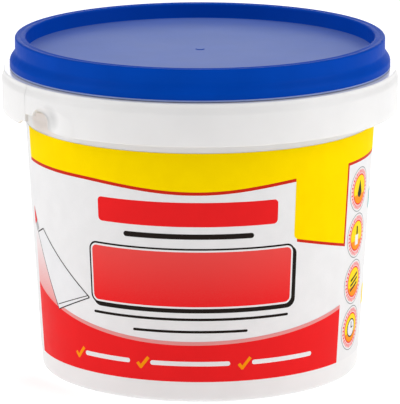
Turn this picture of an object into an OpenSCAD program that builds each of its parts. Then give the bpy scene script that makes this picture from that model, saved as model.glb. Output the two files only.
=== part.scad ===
// Round plastic tub for ready-mixed wall filler: a tapered tub with a deep collar, a press-on lid,
// a printed film label, the paste itself, and a tear-off tab in the collar that frees the lid's edge.
// Lengths are in millimetres, +Z is up, and the origin is at the middle of the foot's underside.
// The front, where the label's title sits, faces -Y. An azimuth is in degrees from the front
// towards +X, so the tear-off tab lies at -90, on the left of the front.

/* [Tub wall] */
// Diameter of the tapered wall, carried down to the foot's underside
base_d = 96.3; // [92:0.1:98]
// Diameter of the wall at the shoulder, where its straight taper ends
shoulder_d = 105.8; // [103:0.1:108]
// Height of the shoulder
shoulder_z = 79.2; // [60:0.1:110]
// Thickness of the wall
wall_t = 1.0; // [0.8:0.05:1.3]
// Thickness of the floor
floor_t = 1.3; // [1:0.1:2.5]
// Radius between the floor and the inside of the wall
floor_round = 2.5; // [1:0.1:5]
// Height of the hollow under the floor
foot_h = 1.2; // [0.6:0.1:3]
// Width of the ring that the tub stands on
foot_w = 2.6; // [2:0.1:5]
// Radius of the foot's outer edge
foot_round = 1.5; // [0.5:0.1:2]
// Radius of the moulding gate's pip under the floor
gate_r = 1.4; // [0.8:0.1:3]
// Height of the moulding gate's pip
gate_h = 0.4; // [0.2:0.1:0.5]

/* [Neck and rim] */
// How far the wall steps out above the shoulder
step_out = 1.9; // [1:0.1:3]
// Height of that step
flare_h = 6.8; // [4:0.1:8]
// Height of the straight neck above the step
neck_h = 14.6; // [13:0.1:20]
// Radius on the rim's two top edges
rim_round = 0.35; // [0.1:0.05:0.4]
// How far the snap bead stands out of the neck
bead_out = 0.12; // [0.05:0.01:0.14]
// Height of the snap bead
bead_h = 0.9; // [0.5:0.1:1.5]
// Depth of the snap bead below the rim
bead_drop = 1.6; // [1:0.1:2.5]

/* [Collar] */
// Drop from the rim to the top of the shelf that carries the collar
shelf_drop = 8.2; // [7.6:0.1:9.5]
// Reach of the shelf from the neck to the collar's outside
shelf_w = 5.2; // [4.8:0.1:7]
// Thickness of the shelf
shelf_t = 1.2; // [0.8:0.1:1.4]
// Height of the collar, from the shelf's top down
collar_h = 12.7; // [12:0.1:16]
// Thickness of the collar's skirt
collar_t = 1.1; // [0.8:0.1:1.4]
// How far the collar's top edge is set in
lip_in = 0.8; // [0.3:0.1:1]
// Height of the set-in top edge
lip_h = 1.3; // [1:0.1:2]
// Height over which the collar swells out below that edge
lip_blend = 1.3; // [0.8:0.1:2]
// How much the collar draws in again by its lower edge
collar_draft = 0.2; // [0:0.05:0.5]
// Radius on the collar's edges
edge_round = 0.35; // [0.1:0.05:0.4]
// Number of ribs between the neck and the collar
rib_count = 15; // [5:1:24]
// Thickness of a rib
rib_t = 0.9; // [0.6:0.1:1.5]
// Height of a rib under the shelf
rib_h = 5.5; // [3:0.1:8]

/* [Tear-off tab] */
// Arc of the collar that the tab takes up, in degrees
tab_arc = 67.2; // [50:0.1:80]
// Width of the slot round the tab
tab_slot = 0.35; // [0.2:0.05:0.6]
// Width of the ledge that stays on the neck behind the tab
ledge_w = 1.2; // [0.8:0.1:1.6]
// Length along the edge of the tab's cut-away lower corner
tab_corner_l = 5.3; // [4:0.1:7]
// Length of the level part of that corner
tab_corner_level = 2.6; // [1:0.1:3.5]
// Height of that corner
tab_corner_h = 1.5; // [0.8:0.1:2.5]
// Width of one snap bridge across the slot
bridge_w = 1.2; // [0.8:0.1:2]
// Thickness of one snap bridge
bridge_t = 0.7; // [0.4:0.1:1]
// Number of snap bridges along the ledge
bridge_count = 5; // [2:1:9]

/* [Finger notch] */
// Width of the arch beside the tab
arch_w = 15.8; // [12:0.1:18]
// Height of the arch above the collar's lower edge
arch_h = 7.6; // [5:0.1:8]
// Height of the arch's rounded top
arch_crown = 4.6; // [3:0.1:5]
// Width of the strip between the tab's slot and the arch
strip_w = 4.1; // [3:0.1:6]
// Clear height under that strip
strip_clear = 3.9; // [2:0.1:4.5]
// Radius of the curved wall that closes the notch's far side
return_r = 13; // [10:0.1:15]

/* [Lid] */
// Thickness of the lid's walls
lid_t = 0.9; // [0.7:0.05:1.1]
// Clearance between the lid and each side of the rim
lid_fit = 0.2; // [0.15:0.01:0.4]
// Gap between the rim and the roof of the lid's groove
lid_seat = 0.2; // [0.1:0.05:0.4]
// Thickness of the lid above its groove
crest_t = 1.1; // [0.8:0.1:1.6]
// Radius on the crest's edges
crest_round = 0.6; // [0.3:0.05:0.7]
// Depth of the shallow groove along the crest's top
crest_dish = 0.15; // [0.05:0.05:0.3]
// Depth of the sunk panel below the crest
panel_drop = 4.5; // [4.3:0.1:5.5]
// Thickness of the panel
panel_t = 1.1; // [0.8:0.1:1.4]
// Radius between the panel and the wall round it
panel_round = 0.8; // [0.3:0.1:1.5]
// Depth of the sealing plug below the panel
plug_h = 4.4; // [3:0.1:5]
// Gap between the lid's foot and the shelf
foot_gap = 0.6; // [0.35:0.05:1]
// How far the lid's foot flares out from its skirt
foot_flare = 1.6; // [1:0.1:2]
// Height of the upright band at the lid's foot
foot_band = 1.5; // [1:0.1:2]
// Height of the flare above that band
foot_flare_h = 3.3; // [2:0.1:3.6]

/* [Label] */
// Height of the film's lower edge
label_z = 6.4; // [4:0.1:12]
// Gap between the film's upper edge and the shoulder
label_top_gap = 2.8; // [1.5:0.1:8]
// Thickness of the film
label_t = 0.12; // [0.08:0.01:0.2]
// Width of the gap between the film's ends, at the back
label_gap = 3.0; // [1:0.1:8]
// Height of the yellow band along the top
yellow_h = 10.4; // [8:0.1:14]
// Height of the red band along the foot
red_h = 12.6; // [8:0.1:16]

/* [Paste] */
// Depth of the paste's surface below the shoulder
fill_drop = 1.8; // [1:0.1:12]
// Clearance between the paste and the wall
fill_gap = 0.3; // [0.3:0.05:0.5]
// Height of the ripples in the paste's surface
ripple_h = 0.5; // [0:0.1:1]

/* [Hidden] */
$fn = 128;

// Angles
quarter = 90;
half_turn = 180;
full_turn = 360;
tab_az = -90;

// Counts of straight steps in a rounded edge, in a swell and in the arch
arc_steps = 5;
blend_steps = 6;
arch_steps = 12;
ripple_steps = 18;

// Overrun of a cut past what it cuts, overlap of pieces that fuse, and the film's hair of clearance
over = 1.0;
sink = 0.4;
hair = 0.02;

// Wall
base_r = base_d / 2;
shoulder_r = shoulder_d / 2;
floor_z = foot_h + floor_t;
rim_r = shoulder_r + step_out;
rim_in_r = rim_r - wall_t;
flare_z = shoulder_z + flare_h;
rim_z = flare_z + neck_h;
bead_z = rim_z - bead_drop;

// Collar
shelf_z = rim_z - shelf_drop;
shelf_under_z = shelf_z - shelf_t;
collar_r = rim_r + shelf_w;
collar_low_r = collar_r - collar_draft;
lip_r = collar_r - lip_in;
lip_low_z = shelf_z - lip_h;
swell_z = lip_low_z - lip_blend;
collar_z = shelf_z - collar_h;
space_z = min(collar_z, shoulder_z) - over;
ledge_r = rim_r + ledge_w;
slot_r = ledge_r + tab_slot;

// Tab and notch, as azimuths on the collar's outside
mm_deg = half_turn / (PI * collar_r);
seam_az = tab_az + tab_arc / 2;
slot_deg = tab_slot * mm_deg;
arch_az = seam_az + (strip_w + arch_w / 2) * mm_deg;
return_az = arch_az + arch_w / 2 * mm_deg;
strip_z = collar_z + strip_clear;
arch_spring_z = collar_z + arch_h - arch_crown;

// Lid
skirt_in_r = rim_r + lid_fit;
skirt_r = skirt_in_r + lid_t;
plug_r = rim_in_r - lid_fit;
plug_in_r = plug_r - lid_t;
groove_z = rim_z + lid_seat;
crest_z = groove_z + crest_t;
panel_z = crest_z - panel_drop;
panel_under_z = panel_z - panel_t;
plug_z = panel_under_z - plug_h;
lid_foot_z = shelf_z + foot_gap;
lid_foot_r = skirt_r + foot_flare;
band_z = lid_foot_z + foot_band;
skirt_z = band_z + foot_flare_h;
crest_mid_r = (plug_in_r + skirt_r) / 2;

// Label and paste
label_top_z = shoulder_z - label_top_gap;
yellow_z = label_top_z - yellow_h;
red_z = label_z + red_h;
fill_z = shoulder_z - fill_drop;
fill_edge_r = wall_r(fill_z) - wall_t - fill_gap;
ripple_share = 4.5;

// Radius of the wall's outside at a height below the shoulder
function wall_r(z) = base_r + (shoulder_r - base_r) * z / shoulder_z;

// Polar angle about Z of an azimuth from the front
function polar(az) = az - quarter;

// Points along an arc round (cx, cz), from angle a0 to a1
function arc(cx, cz, r, a0, a1) =
    [for (i = [0:arc_steps]) let (a = a0 + (a1 - a0) * i / arc_steps) [cx + r * cos(a), cz + r * sin(a)]];

// Points along a smooth step from (r0, z0) to (r1, z1)
function swell(r0, z0, r1, z1) =
    [for (i = [0:blend_steps]) let (t = i / blend_steps)
        [r0 + (r1 - r0) * (1 - cos(half_turn * t)) / 2, z0 + (z1 - z0) * t]];

// Height of the paste's surface at a share of its radius: soft ripples with a low middle
function paste_z(share) = fill_z + ripple_h * (cos(full_turn * ripple_share * share) * (1 - share) - 1) / 2;

// A sector of a ring with the given profile, from one azimuth to another
module ring_sector(az0, az1) {
    rotate([0, 0, polar(az0)])
        rotate_extrude(angle = az1 - az0)
            children();
}

// Wall, floor, foot, rim and the ledge on the neck, as one turned outline
module cup_outline() {
    polygon(concat(
        [[0, foot_h], [base_r - foot_round - foot_w, foot_h], [base_r - foot_round - foot_w + foot_h / 2, 0]],
        arc(wall_r(foot_round) - foot_round, foot_round, foot_round, -quarter, 0),
        swell(shoulder_r, shoulder_z, rim_r, flare_z),
        [[rim_r, shelf_under_z], [ledge_r, shelf_under_z], [ledge_r, shelf_z], [rim_r, shelf_z]],
        [[rim_r, bead_z - bead_h / 2], [rim_r + bead_out, bead_z], [rim_r, bead_z + bead_h / 2]],
        arc(rim_r - rim_round, rim_z - rim_round, rim_round, 0, quarter),
        arc(rim_in_r + rim_round, rim_z - rim_round, rim_round, quarter, half_turn),
        swell(rim_in_r, flare_z, shoulder_r - wall_t, shoulder_z),
        arc(wall_r(floor_z) - wall_t - floor_round, floor_z + floor_round, floor_round, 0, -quarter),
        [[0, floor_z]]
    ));
}

// Shelf and skirt, with the shelf starting at r_in
module collar_outline(r_in) {
    polygon(concat(
        [[r_in, shelf_under_z], [r_in, shelf_z]],
        arc(lip_r - edge_round, shelf_z - edge_round, edge_round, quarter, 0),
        swell(lip_r, lip_low_z, collar_r, swell_z),
        arc(collar_low_r - edge_round, collar_z + edge_round, edge_round, 0, -quarter),
        [[collar_low_r - collar_t, collar_z]],
        swell(collar_r - collar_t, swell_z, lip_r - collar_t, lip_low_z),
        [[lip_r - collar_t, shelf_under_z]]
    ));
}

// Space between the neck and the collar, a little into both, that ribs and the return wall fill
module under_collar_space() {
    rotate_extrude()
        polygon(concat(
            [[wall_r(space_z) - wall_t + sink, space_z]],
            swell(shoulder_r - wall_t + sink, shoulder_z, rim_r - wall_t + sink, flare_z),
            [[rim_r - wall_t + sink, shelf_under_z + sink], [lip_r - collar_t + sink, shelf_under_z + sink]],
            swell(lip_r - collar_t + sink, lip_low_z, collar_r - collar_t + sink, swell_z),
            [[collar_low_r - collar_t + sink, collar_z], [collar_low_r - collar_t + sink, space_z]]
        ));
}

// A block standing radially at an azimuth, cut to a shape drawn as (distance along the collar, height)
module radial_cut(az, r0, r1) {
    rotate([0, 0, polar(az)])
        translate([r0, 0, 0])
            rotate([quarter, 0, quarter])
                linear_extrude(r1 - r0)
                    children();
}

// Arch beside the tab and the clear space under the strip, open at the collar's lower edge
module finger_notch() {
    half_w = arch_w / 2;
    radial_cut(arch_az, rim_r, collar_r + over)
        polygon(concat(
            [[half_w, collar_z - over]],
            [for (i = [0:arch_steps]) let (a = half_turn * i / arch_steps)
                [half_w * cos(a), arch_spring_z + arch_crown * sin(a)]],
            [[-half_w, strip_z], [-half_w - strip_w - over, strip_z], [-half_w - strip_w - over, collar_z - over]]
        ));
}

// Curved wall that leads a finger from the collar's face in behind the tab's free end
module notch_return() {
    intersection() {
        under_collar_space();
        rotate([0, 0, polar(return_az)])
            translate([collar_low_r - return_r, 0, 0])
                difference() {
                    translate([0, 0, collar_z])
                        cylinder(r = return_r, h = collar_h);
                    translate([0, 0, collar_z - over])
                        cylinder(r = return_r - collar_t, h = collar_h + 2 * over);
                    translate([-collar_r, 0, collar_z - over])
                        cube([2 * collar_r, collar_r, collar_h + 2 * over]);
                }
    }
}

// Ribs spread evenly along the part of the collar that stays on the tub
module collar_ribs() {
    rib_margin = (rib_t + collar_t + over) * mm_deg;
    first = return_az + 2 * rib_margin;
    last = full_turn + tab_az - tab_arc / 2 - rib_margin;
    intersection() {
        under_collar_space();
        for (i = [0:rib_count - 1])
            rotate([0, 0, polar(first + (last - first) * i / (rib_count - 1))])
                translate([0, -rib_t / 2, shelf_under_z - rib_h])
                    cube([collar_r, rib_t, rib_h + shelf_t]);
    }
}

// The part of the collar that stays on the tub
module fixed_collar() {
    difference() {
        ring_sector(seam_az + slot_deg / 2, full_turn + tab_az - tab_arc / 2 - slot_deg / 2)
            collar_outline(ledge_r - sink);
        finger_notch();
    }
}

// Tub: wall, floor, rim, shelf and collar in one moulding
module tub() {
    color("#F1F0EE")
        union() {
            rotate_extrude()
                cup_outline();
            fixed_collar();
            notch_return();
            collar_ribs();
            translate([0, 0, foot_h - gate_h])
                cylinder(r = gate_r, h = gate_h + sink);
        }
}

// Tear-off tab: the rest of the collar, with its lower corner cut away beside the notch
module tear_tab() {
    color("#EFEEEC")
        difference() {
            ring_sector(tab_az - tab_arc / 2 + slot_deg / 2, tab_az + tab_arc / 2 - slot_deg / 2)
                collar_outline(slot_r);
            radial_cut(seam_az, rim_r, collar_r + over)
                polygon([
                    [over, collar_z - over],
                    [over, collar_z + tab_corner_h],
                    [-tab_corner_level, collar_z + tab_corner_h],
                    [-tab_corner_l, collar_z],
                    [-tab_corner_l, collar_z - over]
                ]);
        }
}

// One bridge outline: as thick as bridge_t, its top as far under a level as the slot is wide
module bridge_outline(r0, r1, top_z) {
    translate([r0, top_z - tab_slot - bridge_t])
        square([r1 - r0, bridge_t]);
}

// Thin bridges across the slot, which hold the tab until it is torn off
module snap_bridges() {
    span_deg = bridge_w * mm_deg;
    gap_deg = hair * mm_deg;
    color("#E4E2DF") {
        for (i = [0:bridge_count - 1]) {
            az = tab_az + tab_arc * ((i + 1) / (bridge_count + 1) - 1 / 2);
            ring_sector(az - span_deg / 2, az + span_deg / 2)
                bridge_outline(ledge_r, slot_r - hair, shelf_z);
        }
        for (top = [shelf_z, swell_z]) {
            ring_sector(seam_az - slot_deg / 2 + gap_deg, seam_az + slot_deg / 2)
                bridge_outline(lip_r - collar_t + lip_in, lip_r - hair, top);
            ring_sector(tab_az - tab_arc / 2 - slot_deg / 2, tab_az - tab_arc / 2 + slot_deg / 2 - gap_deg)
                bridge_outline(lip_r - collar_t + lip_in, lip_r - hair, top);
        }
    }
}

// One band of the film, between two heights
module film_band(z0, z1) {
    gap_deg = label_gap * half_turn / (PI * shoulder_r);
    ring_sector(gap_deg / 2 - half_turn, half_turn - gap_deg / 2)
        polygon([
            [wall_r(z0) + hair, z0],
            [wall_r(z0) + hair + label_t, z0],
            [wall_r(z1) + hair + label_t, z1],
            [wall_r(z1) + hair, z1]
        ]);
}

// Printed film round the wall: one film, with a yellow band above, white paper colour and a red band below
module label() {
    color("#F6D417")
        film_band(yellow_z, label_top_z);
    color("#F4F2F1")
        film_band(red_z, yellow_z);
    color("#DC2129")
        film_band(label_z, red_z);
}

// Ready-mixed paste, which fills the tub to just under the shoulder
module filler() {
    floor_r = wall_r(floor_z) - wall_t - fill_gap - floor_round;
    color("#F3F1EA")
        rotate_extrude()
            polygon(concat(
                [[0, floor_z]],
                arc(floor_r, floor_z + floor_round, floor_round, -quarter, 0),
                [for (i = [0:ripple_steps]) let (s = 1 - i / ripple_steps) [fill_edge_r * s, paste_z(s)]]
            ));
}

// Lid's outline: sunk panel, crest, flared skirt, groove for the rim and sealing plug
module lid_outline() {
    polygon(concat(
        [[0, panel_under_z], [0, panel_z]],
        arc(plug_in_r - panel_round, panel_z + panel_round, panel_round, -quarter, 0),
        arc(plug_in_r + crest_round, crest_z - crest_round, crest_round, half_turn, quarter),
        [[crest_mid_r, crest_z - crest_dish]],
        arc(skirt_r - crest_round, crest_z - crest_round, crest_round, quarter, 0),
        swell(skirt_r, skirt_z, lid_foot_r, band_z),
        arc(lid_foot_r - edge_round, lid_foot_z + edge_round, edge_round, 0, -quarter),
        [[lid_foot_r - lid_t, lid_foot_z]],
        swell(lid_foot_r - lid_t, band_z, skirt_in_r, skirt_z),
        [[skirt_in_r, groove_z], [plug_r, groove_z]],
        [[plug_r, plug_z + lid_t], [plug_r - lid_t / 2, plug_z], [plug_in_r, plug_z], [plug_in_r, panel_under_z]]
    ));
}

// Press-on lid
module lid() {
    color("#1450B8")
        union() {
            rotate_extrude()
                lid_outline();
            translate([0, 0, panel_z - sink])
                cylinder(r = gate_r, h = gate_h / 2 + sink);
        }
}

tub();
label();
filler();
snap_bridges();
tear_tab();
lid();
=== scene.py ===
"""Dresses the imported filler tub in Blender: the moulded tub with its collar, the press-on lid, the tear-off tab with
its snap bridges, the paste, and the printed film round the wall. Run as a script. Lengths in the code are in
millimetres until a vertex is placed, and an azimuth is in degrees from the front, -Y, towards +X."""

from math import asin, atan2, ceil, cos, degrees, pi, radians, sin, sqrt

import bpy
from bpy.props import FloatProperty, FloatVectorProperty, IntProperty, PointerProperty
from bpy.types import Operator, Panel, PropertyGroup
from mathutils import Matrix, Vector


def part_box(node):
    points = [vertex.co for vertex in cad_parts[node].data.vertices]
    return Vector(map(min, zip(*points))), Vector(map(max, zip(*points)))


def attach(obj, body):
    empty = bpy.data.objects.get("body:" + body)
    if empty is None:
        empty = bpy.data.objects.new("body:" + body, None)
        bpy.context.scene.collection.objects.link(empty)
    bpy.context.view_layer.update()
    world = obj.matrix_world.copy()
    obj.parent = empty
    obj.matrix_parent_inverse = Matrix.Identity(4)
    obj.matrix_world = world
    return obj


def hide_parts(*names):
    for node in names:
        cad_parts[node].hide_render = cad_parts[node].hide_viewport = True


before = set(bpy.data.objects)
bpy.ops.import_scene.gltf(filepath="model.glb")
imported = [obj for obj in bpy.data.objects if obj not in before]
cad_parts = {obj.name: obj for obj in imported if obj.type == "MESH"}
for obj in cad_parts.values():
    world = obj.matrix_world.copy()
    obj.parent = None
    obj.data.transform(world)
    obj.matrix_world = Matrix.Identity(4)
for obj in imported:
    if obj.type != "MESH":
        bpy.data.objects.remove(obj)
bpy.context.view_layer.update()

bl_info = {
    "name": "Wall filler tub",
    "version": (1, 0, 0),
    "blender": (4, 5, 0),
    "location": "View3D > Sidebar > Filler Tub",
    "description": "Models the filler tub's pieces and its printed film over the packed parts",
    "category": "Object",
}

MM = 0.001
TUB_HIGH, LID_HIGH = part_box("tub")[1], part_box("lid")[1]
TAB_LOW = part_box("tear_tab")[0]
FILM_LOW, FILM_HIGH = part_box("label")
PASTE_LOW, PASTE_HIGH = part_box("filler")

# Smallest gap between two faces of the same moulding, and how deep one shape sinks into another
HAIR = 0.02
SINK = 0.4

# Azimuths of the tab's two seams, the slot round it, the arch beside it and the far side of that arch
SEAM_AZ = -56.4
SEAM_BACK_AZ = -123.6
SLOT_DEG = 0.12
ARCH_AZ = -44.94
RETURN_AZ = -35.0

# Half the arch's width, how far its right side runs out into the scoop, where its crown starts and how high that is,
# and the strip next to it: its length with some overrun, and the clear height under it
ARCH_HALF = 7.9
ARCH_SCOOP = 2.5
ARCH_SPRING = 3.0
ARCH_CROWN = 4.6
STRIP_W = 5.1
STRIP_CLEAR = 3.9

# Neck: how far it steps out from the shoulder, over what height, and its bead's drop below the rim
STEP_OUT = 1.9
FLARE_H = 6.8
BEAD_DROP = 1.6

# Collar: thickness of its shelf and its skirt, the ledge behind the tab and the slot beyond it, the radius on edges,
# how far it draws in by its foot, and how far under the shelf its swell ends inside
SHELF_T = 1.2
SKIRT_T = 1.1
LEDGE = 1.2
SLOT = 0.35
EDGE_R = 0.35
TAPER = 0.2
SWELL_DROP = 2.6

# Ink on the film: one layer's thickness and the step from layer to layer
INK = 0.008
LAYER = 0.014

# Place that the camera and the lamps look at, in metres
TARGET = Vector((0, 0, 0.05))


def length_of(name, about, default, low, high):
    """A length in the sidebar, given in millimetres and kept in metres."""
    values = {"default": default * MM, "min": low * MM, "max": high * MM}
    return FloatProperty(name=name, description=about, precision=5, unit="LENGTH", subtype="DISTANCE", **values)


def colour_of(name, about, default):
    """A colour in the sidebar."""
    return FloatVectorProperty(
        name=name, description=about, default=default, min=0.0, max=1.0, size=3, subtype="COLOR"
    )


def number_of(name, about, default, **limits):
    """A plain number in the sidebar."""
    return FloatProperty(name=name, description=about, default=default, **limits)


class TubSizes(PropertyGroup):
    """Sizes of the tub and its collar."""

    base_radius: length_of("Base radius", "Radius of the wall, carried down to the foot", 48.15, 46, 50)
    shoulder_radius: length_of("Shoulder radius", "Radius where the wall's taper ends", 52.9, 51, 54)
    shoulder_height: length_of("Shoulder height", "Height where the wall's taper ends", 79.2, 60, 110)
    wall: length_of("Wall", "Thickness of the wall", 1.0, 0.8, 1.3)
    rim_height: length_of("Rim height", "Height of the rim's top", TUB_HIGH.z / MM, 80, 130)
    shelf_height: length_of("Shelf height", "Height of the shelf that carries the collar", 92.4, 70, 120)
    collar_radius: length_of("Collar radius", "Radius of the collar's outside", TUB_HIGH.x / MM, 58, 62)
    collar_foot: length_of("Collar foot", "Height of the collar's lower edge", TAB_LOW.z / MM, 60, 110)
    ribs: IntProperty(name="Ribs", description="Number of ribs behind the collar", default=15, min=5, max=24)


class LidSizes(PropertyGroup):
    """Sizes of the lid."""

    skirt_radius: length_of("Skirt radius", "Radius of the lid's upright side", 55.9, 54, 58)
    foot_radius: length_of("Foot radius", "Radius of the lid's flared foot", LID_HIGH.x / MM, 55, 59)
    crest_height: length_of("Crest height", "Height of the lid's raised ring", LID_HIGH.z / MM, 85, 130)
    panel_drop: length_of("Panel drop", "Depth of the sunk panel below the ring", 4.5, 4.3, 5.5)


class FilmSizes(PropertyGroup):
    """Sizes of the printed film."""

    low: length_of("Lower edge", "Height of the film's lower edge", FILM_LOW.z / MM, 4, 12)
    high: length_of("Upper edge", "Height of the film's upper edge", FILM_HIGH.z / MM, 60, 110)
    thick: length_of("Thickness", "Thickness of the film", 0.12, 0.08, 0.2)
    back_gap: length_of("Gap at the back", "Width between the film's two ends", 3.0, 1, 8)


class Colours(PropertyGroup):
    """Colours of the mouldings and the inks, and of the painted shade inside the notch."""

    white_plastic: colour_of("Tub", "White of the tub's moulding", (0.815, 0.807, 0.805))
    # Painted shade: a warm, darker white laid deep inside the notch
    painted_recess_shade: colour_of("Recess", "Warm tone of the white deep inside the notch", (0.765, 0.70, 0.66))
    blue_plastic: colour_of("Lid", "Blue of the lid's moulding", (0.0, 0.055, 0.42))
    paste: colour_of("Paste", "Off-white of the filler", (0.80, 0.79, 0.75))
    paper: colour_of("Film", "White of the bare film", (0.825, 0.82, 0.825))
    yellow: colour_of("Yellow ink", "Yellow of the band and its drop", (1.0, 0.71, 0.0))
    red: colour_of("Red ink", "Red of the foot field and the plates", (0.84, 0.016, 0.018))
    brick: colour_of("Line ink", "Darker red of the lines under the yellow band", (0.60, 0.022, 0.008))
    blush: colour_of("Blush ink", "Pale ground of the round marks' rings", (0.86, 0.56, 0.56))
    pink: colour_of("Pink ink", "Pale edge along the red field", (0.80, 0.30, 0.29))
    dark: colour_of("Dark ink", "Near-black of the rules and shadows", (0.016, 0.012, 0.010))
    orange: colour_of("Orange ink", "Orange of the ticks and round marks", (0.95, 0.30, 0.004))
    steel: colour_of("Steel tint", "Pale grey of the drawn blade", (0.81, 0.81, 0.825))


class StageSettings(PropertyGroup):
    """Camera, floor and lamps."""

    turn: number_of("Camera turn", "Azimuth that the camera looks from", radians(3.5), subtype="ANGLE")
    pitch: number_of("Camera pitch", "How far down the camera looks", radians(12.81), subtype="ANGLE")
    distance: number_of("Camera distance", "From the tub's middle", 1.3, unit="LENGTH", subtype="DISTANCE")
    lens: number_of("Lens", "Focal length in millimetres", 380.2, min=50, max=800)
    floor: colour_of("Floor", "Colour of the floor", (0.93, 0.93, 0.93))
    left_power: number_of("Left lamp", "Power of the left lamp", 9.5, min=0, unit="POWER")
    right_power: number_of("Right lamp", "Power of the right lamp", 10.6, min=0, unit="POWER")
    top_power: number_of("Top lamp", "Power of the overhead lamp", 11.5, min=0, unit="POWER")
    back_power: number_of("Back lamp", "Power of the lamp behind", 8.0, min=0, unit="POWER")
    surroundings: number_of("Surroundings", "Strength of the pale surroundings", 0.24, min=0)
    glow: number_of("Floor glow", "Light that the floor gives by itself", 0.40, min=0, max=1)


class FillerTubSettings(PropertyGroup):
    """All that a user would change."""

    tub: PointerProperty(type=TubSizes)
    lid: PointerProperty(type=LidSizes)
    film: PointerProperty(type=FilmSizes)
    colours: PointerProperty(type=Colours)
    stage: PointerProperty(type=StageSettings)


def settings():
    return bpy.context.scene.filler_tub


def mm(value):
    """A kept length, back in millimetres."""
    return value / MM


def tub_sizes(*names):
    """Sizes of the tub, in millimetres."""
    return [mm(getattr(settings().tub, name)) for name in names]


# Outlines, as lists of (radius, height)


def arc(centre_r, centre_z, radius, first, last, steps=6):
    turns = (radians(first + (last - first) * i / steps) for i in range(steps + 1))
    return [(centre_r + radius * cos(a), centre_z + radius * sin(a)) for a in turns]


def swell(r0, z0, r1, z1, steps=9):
    """A smooth step from one radius to another."""
    shares = (i / steps for i in range(steps + 1))
    return [(r0 + (r1 - r0) * (1 - cos(pi * t)) / 2, z0 + (z1 - z0) * t) for t in shares]


def wall_r(z):
    base, shoulder, shoulder_z = tub_sizes("base_radius", "shoulder_radius", "shoulder_height")
    return base + (shoulder - base) * z / shoulder_z


def neck_top():
    """Radius of the neck's outside above its flare."""
    return mm(settings().tub.shoulder_radius) + STEP_OUT


def at(azimuth, radius, z):
    """The place at an azimuth, a radius and a height."""
    a = radians(azimuth)
    return Vector((radius * sin(a), -radius * cos(a), z)) * MM


def directions(azimuth):
    """Level directions at an azimuth: along the collar, and straight out."""
    a = radians(azimuth)
    return Vector((cos(a), sin(a), 0)), Vector((sin(a), -cos(a), 0))


# Work in Blender's own operators


def start_clean():
    """Object mode with nothing selected, because an operator acts on all that is selected."""
    if bpy.context.object and bpy.context.object.mode != "OBJECT":
        bpy.ops.object.mode_set(mode="OBJECT")
    bpy.ops.object.select_all(action="DESELECT")


def pick(piece):
    start_clean()
    piece.select_set(True)
    bpy.context.view_layer.objects.active = piece


def named(name):
    """The object that the last operator made, with its name on it and its data."""
    made = bpy.context.object
    made.name = made.data.name = name
    return made


def drawn(name, points, closed=False):
    """A plane shrunk to one corner and extruded from point to point. It is left in edit mode."""
    start_clean()
    bpy.ops.mesh.primitive_plane_add(size=MM, location=(0, 0, 0))
    piece = named(name)
    bpy.ops.object.mode_set(mode="EDIT")
    bpy.ops.mesh.merge(type="CENTER")
    bpy.ops.transform.translate(value=points[0])
    for here, there in zip(points, points[1:]):
        bpy.ops.mesh.extrude_region_move(TRANSFORM_OT_translate={"value": there - here})
    if closed:
        bpy.ops.object.mode_set(mode="OBJECT")
        for v in piece.data.vertices:
            v.select = min((v.co - end).length for end in (points[0], points[-1])) < 0.0005 * MM
        bpy.ops.object.mode_set(mode="EDIT")
        bpy.ops.mesh.edge_face_add()
    bpy.ops.mesh.select_all(action="SELECT")


def made_solid():
    """Turns the normals of the mesh in edit mode outward, and goes back to object mode."""
    bpy.ops.mesh.select_all(action="SELECT")
    bpy.ops.mesh.normals_make_consistent(inside=False)
    bpy.ops.object.mode_set(mode="OBJECT")
    return bpy.context.object


def turned(name, outline, closed=False, first=0.0, last=360.0, step=1.5):
    """An outline spun round the tub's axis, from one azimuth to another, with its ends filled."""
    drawn(name, [at(first, r, z) for r, z in outline], closed)
    steps = max(2, round((last - first) / step))
    bpy.ops.mesh.spin(steps=steps, angle=radians(first - last), center=(0, 0, 0), axis=(0, 0, 1))
    bpy.ops.mesh.select_all(action="SELECT")
    bpy.ops.mesh.remove_doubles(threshold=0.001 * MM)
    if last - first < 360:
        bpy.ops.mesh.fill_holes(sides=0)
    return made_solid()


def slab(name, points, push):
    """A flat outline, filled and pushed along to a solid."""
    drawn(name, points, closed=True)
    bpy.ops.mesh.edge_face_add()
    bpy.ops.mesh.extrude_region_move(TRANSFORM_OT_translate={"value": push})
    return made_solid()


def radial_slab(name, azimuth, r0, r1, outline):
    """A solid standing radially at an azimuth, from an outline of (distance along the collar, height)."""
    along, out = directions(azimuth)
    points = [(out * r0 + along * x + Vector((0, 0, z))) * MM for x, z in outline]
    return slab(name, points, out * (r1 - r0) * MM)


def applied(piece, kind, **values):
    """Adds a modifier to a piece, sets its values and applies it."""
    pick(piece)
    bpy.ops.object.modifier_add(type=kind)
    modifier = piece.modifiers[-1]
    for key, value in values.items():
        setattr(modifier, key, value)
    bpy.ops.object.modifier_apply(modifier=modifier.name)
    return piece


def cut_away(piece, cutter):
    applied(piece, "BOOLEAN", operation="DIFFERENCE", solver="EXACT", object=cutter)
    pick(cutter)
    bpy.ops.object.delete()


def joined(name, pieces):
    start_clean()
    for p in pieces:
        p.select_set(True)
    bpy.context.view_layer.objects.active = pieces[0]
    if len(pieces) > 1:
        bpy.ops.object.join()
    return named(name)


def smoothed(piece, angle=30):
    pick(piece)
    bpy.ops.object.shade_smooth_by_angle(angle=radians(angle))
    return piece


def coat(piece, *materials):
    piece.data.materials.clear()
    for material in materials:
        piece.data.materials.append(material)
    return piece


def hand_over(piece, body, slot, *nodes):
    """Lets a finished piece move with its body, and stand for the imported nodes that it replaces."""
    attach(piece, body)
    if nodes:
        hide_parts(*nodes)


# Finishes


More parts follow.
